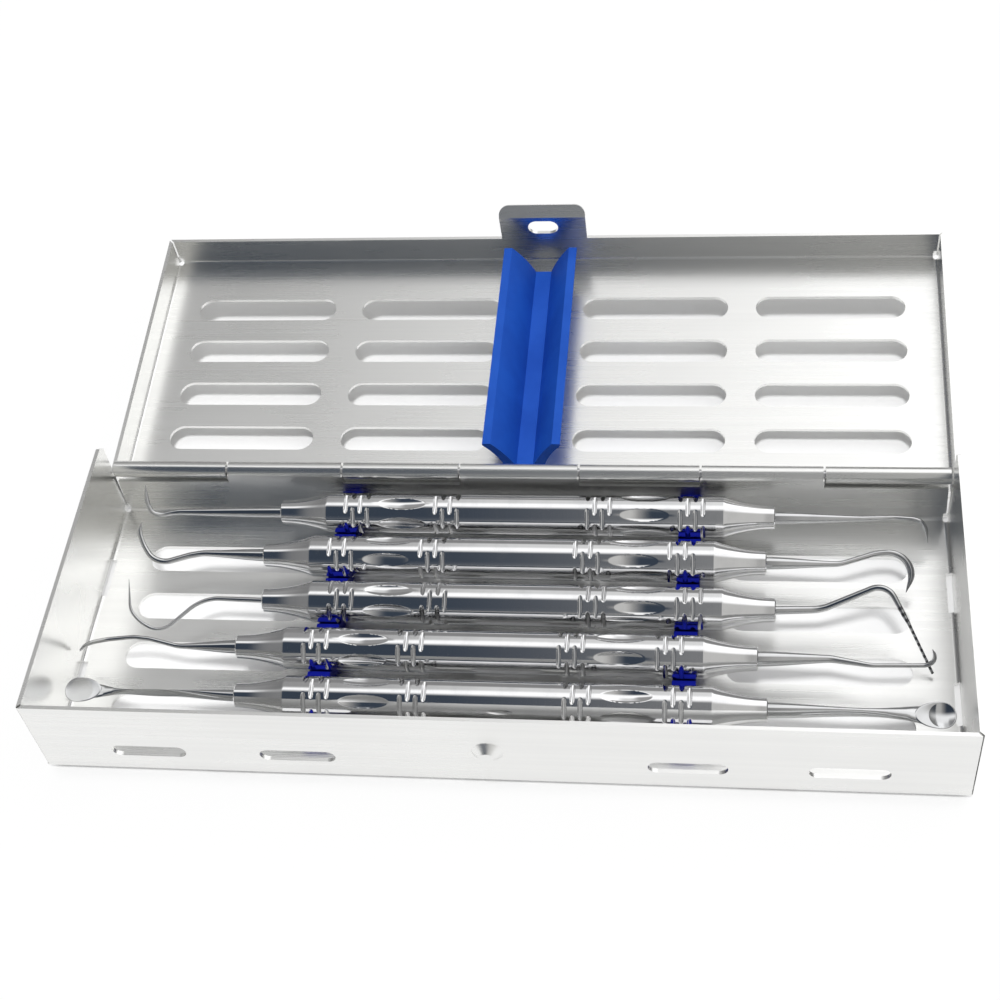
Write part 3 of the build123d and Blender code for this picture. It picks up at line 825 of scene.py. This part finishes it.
def instruments() -> list[Instrument]:
    """The five instruments, from the hinge to the front.

    Returns:
        Their parts. Turns are in degrees from the top towards the front.
    """
    return [
        Instrument(
            Handle("sickle", 1.3, 26.3, (8.5, 5.5), (8.5, 34.5)),
            WorkingEnd(
                "left",
                (
                    (-50.9, 26.3, 8.0, 1.25, 1.25),
                    (-74.6, 26.0, 8.0, 0.62, 0.62),
                    (-77.6, 25.1, 8.0, 0.5, 0.5),
                    (-79.5, 25.0, 8.7, 0.52, 0.5),
                    (-80.4, 26.1, 10.0, 0.5, 0.5),
                    (-80.6, 27.2, 11.7, 0.36, 0.42),
                    (-80.5, 28.5, 14.0, 0.06, 0.06),
                ),
            ),
            WorkingEnd(
                "right",
                (
                    (53.5, 26.3, 8.0, 1.3, 1.3),
                    (71.0, 26.4, 8.0, 0.6, 0.6),
                    (77.4, 26.8, 8.0, 0.45, 0.45),
                    (81.6, 26.5, 8.0, 0.47, 0.47),
                    (83.3, 26.0, 7.6, 0.45, 0.47),
                    (84.1, 25.0, 6.0, 0.38, 0.42),
                    (84.4, 23.6, 3.8, 0.06, 0.06),
                ),
            ),
        ),
        Instrument(
            Handle("scaler", -0.4, 14.7, (5.5, 45.5), (43.5, 36.5)),
            WorkingEnd(
                "left",
                (
                    (-52.6, 14.7, 8.0, 1.3, 1.3),
                    (-66.3, 15.0, 8.0, 0.65, 0.65),
                    (-69.1, 14.4, 7.9, 0.65, 0.65),
                    (-74.3, 12.7, 7.6, 0.63, 0.6),
                    (-77.2, 13.3, 8.2, 0.58, 0.6),
                    (-79.1, 15.6, 9.5, 0.52, 0.58),
                    (-80.2, 17.8, 11.0, 0.4, 0.5),
                    (-79.7, 19.4, 12.6, 0.06, 0.06),
                ),
            ),
            WorkingEnd(
                "right",
                (
                    (51.8, 14.7, 8.0, 1.3, 1.3),
                    (66.4, 14.7, 8.0, 0.55, 0.55),
                    (73.4, 16.9, 8.8, 0.58, 0.58),
                    (77.0, 17.2, 9.0, 0.6, 0.64),
                    (79.7, 15.9, 8.0, 0.6, 0.74),
                    (80.8, 13.7, 6.0, 0.5, 0.66),
                    (79.6, 11.3, 3.4, 0.06, 0.06),
                ),
            ),
        ),
        Instrument(
            Handle("probe", 1.45, 3.1, (-18.5, -9.5), (-2.5, 36.0)),
            WorkingEnd(
                "left",
                (
                    (-50.75, 3.1, 8.0, 0.55, 0.55),
                    (-63.9, 3.4, 8.0, 0.43, 0.43),
                    (-70.9, -3.0, 6.0, 0.38, 0.38),
                    (-73.4, -3.6, 6.2, 0.36, 0.36),
                    (-76.5, -2.3, 7.0, 0.34, 0.34),
                    (-78.8, -0.2, 8.2, 0.32, 0.32),
                    (-79.2, 5.0, 12.0, 0.05, 0.05),
                ),
            ),
            WorkingEnd(
                "right",
                (
                    (53.65, 3.1, 8.0, 0.85, 0.85),
                    (62.6, 3.5, 8.0, 0.72, 0.72),
                    (75.0, 6.5, 13.2, 0.6, 0.6),
                    (78.3, 1.1, 10.1, 0.46, 0.46),
                    (79.3, -0.5, 9.2, 0.33, 0.33),
                    (84.0, -6.9, 1.9, 0.28, 0.28),
                ),
            ),
            graduated=(32.2, 1.3),
        ),
        Instrument(
            Handle("curette", -1.9, -8.5, (49.5, -3.5), (4.5, 40.5)),
            WorkingEnd(
                "left",
                (
                    (-54.1, -8.5, 8.0, 1.42, 1.42),
                    (-66.8, -8.7, 8.0, 0.5, 0.5),
                    (-72.6, -7.7, 8.9, 0.44, 0.44),
                    (-76.0, -7.5, 9.2, 0.43, 0.43),
                    (-81.5, -8.1, 9.0, 0.46, 0.44),
                    (-84.6, -8.5, 8.5, 0.46, 0.42),
                    (-86.7, -8.6, 7.4, 0.43, 0.38),
                    (-88.0, -8.9, 6.0, 0.3, 0.26),
                ),
            ),
            WorkingEnd(
                "right",
                (
                    (50.3, -8.5, 8.0, 1.55, 1.55),
                    (64.2, -8.1, 8.0, 0.75, 0.75),
                    (71.8, -9.4, 8.0, 0.46, 0.46),
                    (82.3, -9.1, 8.0, 0.44, 0.44),
                    (83.6, -8.8, 8.9, 0.46, 0.42),
                    (83.7, -8.3, 10.4, 0.38, 0.34),
                    (83.1, -8.1, 12.0, 0.06, 0.06),
                ),
            ),
        ),
        Instrument(
            Handle("spoon", 0.0, -20.1, (49.5, 0.5), (39.5, 5.5)),
            WorkingEnd(
                "left",
                (
                    (-52.2, -20.1, 8.0, 1.22, 1.22),
                    (-77.5, -19.9, 8.0, 0.76, 0.7),
                    (-79.6, -19.85, 7.9, 1.3, 0.42),
                    (-81.6, -19.8, 7.8, 1.75, 0.26),
                    (-84.2, -19.8, 7.75, 1.8, 0.2),
                ),
                spoon=(-85.1, -19.8, 8.0, 2.65, 0.85, 16.0),
            ),
            WorkingEnd(
                "right",
                (
                    (52.2, -20.1, 8.0, 1.55, 1.55),
                    (74.5, -20.0, 8.0, 1.0, 0.9),
                    (78.4, -20.0, 7.95, 1.5, 0.78),
                    (81.2, -20.2, 7.95, 2.0, 0.48),
                    (82.6, -20.4, 7.9, 2.1, 0.35),
                    (84.0, -20.4, 7.9, 2.1, 0.3),
                ),
                spoon=(84.45, -20.45, 8.1, 2.7, 1.4, 7.0),
            ),
        ),
    ]


# ---- Studio -----------------------------------------------------------------------------
@dataclass
class Studio:
    """A white floor, a soft overhead band, a lamp and the camera.

    The band runs along the cassette and has a bright core. The back is grey, and the front
    is dark to the left and bright to the far right, and a little paler low down and at the
    far left. Reflections see what the camera sees, and not the lamp.

    A direction's lean is its angle from straight up towards the front, in degrees, seen
    along X, and its x is that of its unit vector. A span is where an easing starts and ends.
    """

    back_level: float = 0.28
    side_levels: tuple[float, float, float] = (0.35, 0.8, 1.5)
    side_spans: tuple[float, float, float, float] = (-0.26, -0.12, -0.06, 0.1)
    core_level: float = 1.3
    core_span: tuple[float, float] = (-34.0, -18.0)
    core_shift: tuple[float, float] = (-6.0, 4.0)
    band_start: tuple[float, float] = (-62.0, -52.0)
    band_end: tuple[float, float] = (-13.0, 6.0)
    front_left: Colour = (0.045, 0.06, 0.085)
    front_right: Colour = (0.42, 0.415, 0.405)
    front_far: Colour = (0.62, 0.615, 0.6)
    front_pale: Colour = (0.8, 0.8, 0.79)
    far_left: Colour = (0.2, 0.2, 0.2)
    lamp_level: float = 1.95
    lamp_spread: float = 12.0
    lamp_lean: float = 12.0
    floor_half: float = 20.0
    floor_drop: float = 0.00002
    paper_tints: tuple[Colour, Colour] = ((0.9, 0.9, 0.9), (0.93, 0.93, 0.93))
    # Painted shade patch: the half width, front and back, in metres, of a fixed rectangle under the open
    # trays where the floor's glow drops to its lower level.
    painted_shade_patch: tuple[float, float, float] = (0.09, -0.034, 0.104)
    glow_levels: tuple[float, float] = (0.04, 0.92)
    camera_place: tuple[float, float, float] = (0.0494, -0.20115, 0.29869)
    camera_turn: tuple[float, float, float] = (0.6783, 0.1051, 0.0982)
    camera_lens: float = 63.65

    def light(self) -> None:
        """Writes the world and hangs the lamp.

        The band lies between leans of about -57 and -4. Its core starts near -30, or near
        -20 at the left. Its sides brighten from left to right.
        """
        world = bpy.data.worlds.new("studio")
        bpy.context.scene.world = world
        graph = Graph(world)
        x, y, z = graph.parts(graph.node("ShaderNodeTexCoord", {}, {}, "Generated"))
        lean = graph.node("ShaderNodeMath", {"operation": "ARCTAN2"}, {0: 0.0 - y, 1: z}) * 57.3
        left, middle, right = self.side_levels
        left_low, left_high, right_low, right_high = self.side_spans
        side = x.step(left_low, left_high, left, middle)
        side = side + x.step(right_low, right_high, 0.0, right - middle)
        core = (lean + x.step(-0.26, -0.14, *self.core_shift)).step(*self.core_span)
        band = side + core * (self.core_level - side)
        band = self.back_level + lean.step(*self.band_start) * (band - self.back_level)
        band = band * abs(x).step(0.55, 0.95, 1.0, 0.8)
        panel = graph.node("ShaderNodeCombineColor", {}, {0: band, 1: band, 2: band})
        front = graph.blend(x.step(-0.2, 0.14), self.front_left, self.front_right)
        front = graph.blend(x.step(0.03, 0.2), front, self.front_far)
        lit = lean.step(50.0, 100.0) * 0.18 + (0.0 - x).step(0.5, 0.75) * 0.4
        front = graph.blend(lit, front, self.front_pale)
        studio = graph.blend(lean.step(*self.band_end), panel, front)
        studio = graph.blend(x.step(-0.7, -0.45, 0.75, 0.0), studio, self.far_left)
        sky = graph.node("ShaderNodeBackground", {}, {"Color": studio, "Strength": 1.0})
        graph.surface(sky, "ShaderNodeOutputWorld")
        lamp = bpy.data.lights.new("lamp", "SUN")
        lamp.energy = self.lamp_level
        lamp.angle = radians(self.lamp_spread)
        made = bpy.data.objects.new("lamp", lamp)
        made.rotation_euler = Euler((radians(self.lamp_lean), 0.0, 0.0), "XYZ")
        made.visible_glossy = False
        bpy.context.scene.collection.objects.link(made)
        LOG.info("studio lit")

    def paper(self) -> Any:
        """Writes the floor's paper.

        The camera and the metal see it glow, as a bright sweep does, except in a fixed rectangle under the
        open trays. That rectangle is a painted shade patch: the glow all but stops there, and only the
        lamp and the world light the paper, so that their shadow shows.

        Returns:
            The Blender material.
        """
        made = bpy.data.materials.new("floor_paper")
        graph = Graph(made)
        x, y, _ = graph.parts(graph.place())
        # Painted shade: inside this fixed rectangle the glow falls from 0.92 to 0.04, whatever the pose.
        half_x, front, back = self.painted_shade_patch
        beside = abs(x).step(half_x - 0.003, half_x + 0.003)
        before = (front - y).step(-0.004, 0.004)
        behind = (y - back).step(-0.004, 0.004)
        outside = beside + before + behind
        fibre = graph.noise(graph.place(), 900.0, 2.0, 0.5)
        matt = graph.node("ShaderNodeBsdfDiffuse", {}, {"Color": graph.blend(fibre, *self.paper_tints)})
        path = graph.node("ShaderNodeLightPath", {}, {}).socket.node.outputs
        straight = Value(graph, path["Is Camera Ray"]) + Value(graph, path["Is Glossy Ray"])
        rays = straight + Value(graph, path["Is Transmission Ray"])
        seen = rays.step(0.0, 1.0) * outside.step(0.0, 1.0, *self.glow_levels)
        glow = graph.node("ShaderNodeEmission", {}, {"Color": (1.0, 1.0, 1.0, 1.0), "Strength": 1.0})
        graph.surface(graph.node("ShaderNodeMixShader", {}, {0: seen, 1: matt, 2: glow}))
        return made

    def floor(self) -> None:
        """Lays the white floor just under the cassette."""
        corner = np.array([(-1.0, -1.0), (1.0, -1.0), (1.0, 1.0), (-1.0, 1.0)]) * self.floor_half
        places = np.column_stack([corner, np.full(4, -self.floor_drop)])
        mesh = bpy.data.meshes.new("floor")
        mesh.from_pydata(places.tolist(), [], [(0, 1, 2, 3)])
        mesh.materials.append(self.paper())
        made = bpy.data.objects.new("floor", mesh)
        bpy.context.scene.collection.objects.link(made)

    def camera(self) -> None:
        """Stands the camera at the viewing angle."""
        lens = bpy.data.cameras.new("camera")
        lens.lens = self.camera_lens
        lens.sensor_width = 36.0
        lens.clip_start = 0.01
        made = bpy.data.objects.new("camera", lens)
        made.location = Vector(self.camera_place)
        made.rotation_euler = Euler(self.camera_turn, "XYZ")
        bpy.context.scene.collection.objects.link(made)
        bpy.context.scene.camera = made
        bpy.context.scene.view_settings.view_transform = "Standard"


def main() -> None:
    """Builds the cassette's looks piece by piece."""
    logging.basicConfig(level=logging.INFO, format="%(name)s: %(message)s")
    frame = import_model()
    Trays().dress(frame["nodes"])
    Silicones().dress(frame["nodes"])
    grip = TurnedSteel().material("handle_steel")
    tip = TIP_FINISH.material("tip_steel")
    for instrument in instruments():
        instrument.build(grip, tip)
    studio = Studio()
    studio.light()
    studio.floor()
    studio.camera()


if __name__ == "__main__":
    main()
